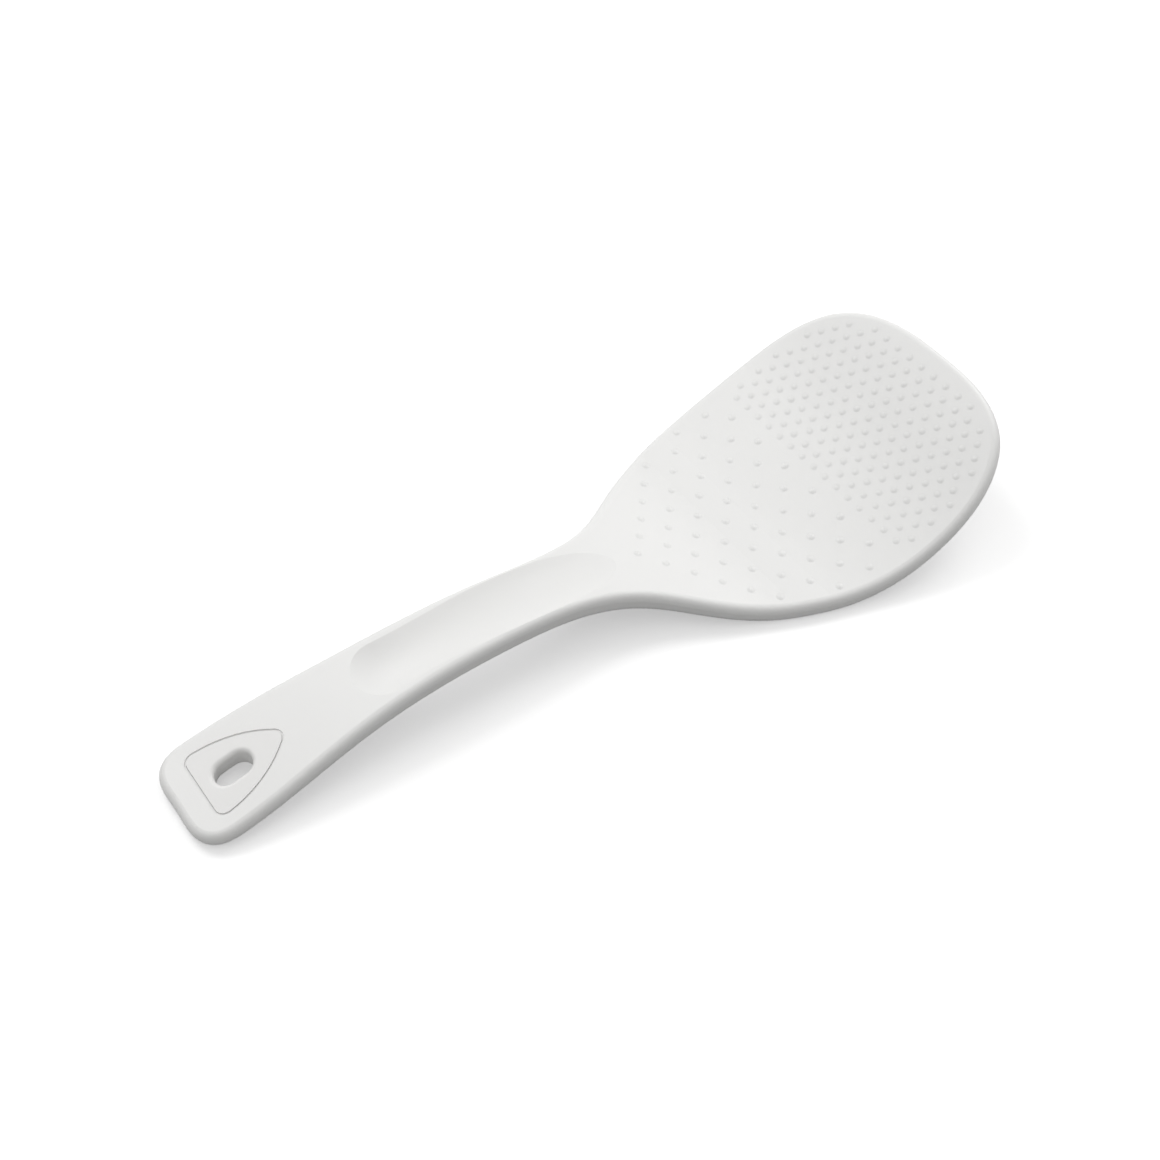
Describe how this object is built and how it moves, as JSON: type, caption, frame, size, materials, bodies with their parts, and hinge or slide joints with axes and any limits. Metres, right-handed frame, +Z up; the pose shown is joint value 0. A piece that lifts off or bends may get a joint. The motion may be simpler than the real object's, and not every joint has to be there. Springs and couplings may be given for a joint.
{
  "type": "rice paddle",
  "caption": "Moulded rice paddle with an arched handle, a scooped blade studded with non-stick nubs, and a slotted hang hole in a pointed panel at the handle's end.",
  "frame": {"origin": "middle of the bottom of the box, with the paddle lying as it rests on a table", "axes": "+X runs along the paddle from the handle end to the blade's tip, +Z is up out of the side that holds rice, and +Y completes the right-handed frame across the blade"},
  "size_m": [0.1941, 0.07, 0.0247],
  "materials": {
    "white_plastic": "satin",
    "panel_plastic": "satin"
  },
  "bodies": {
    "root": {"paddle_body": "white_plastic", "hang_hole_panel": "panel_plastic", "open_nubs": "white_plastic", "close_nubs": "white_plastic"}
  },
  "joints": []
}
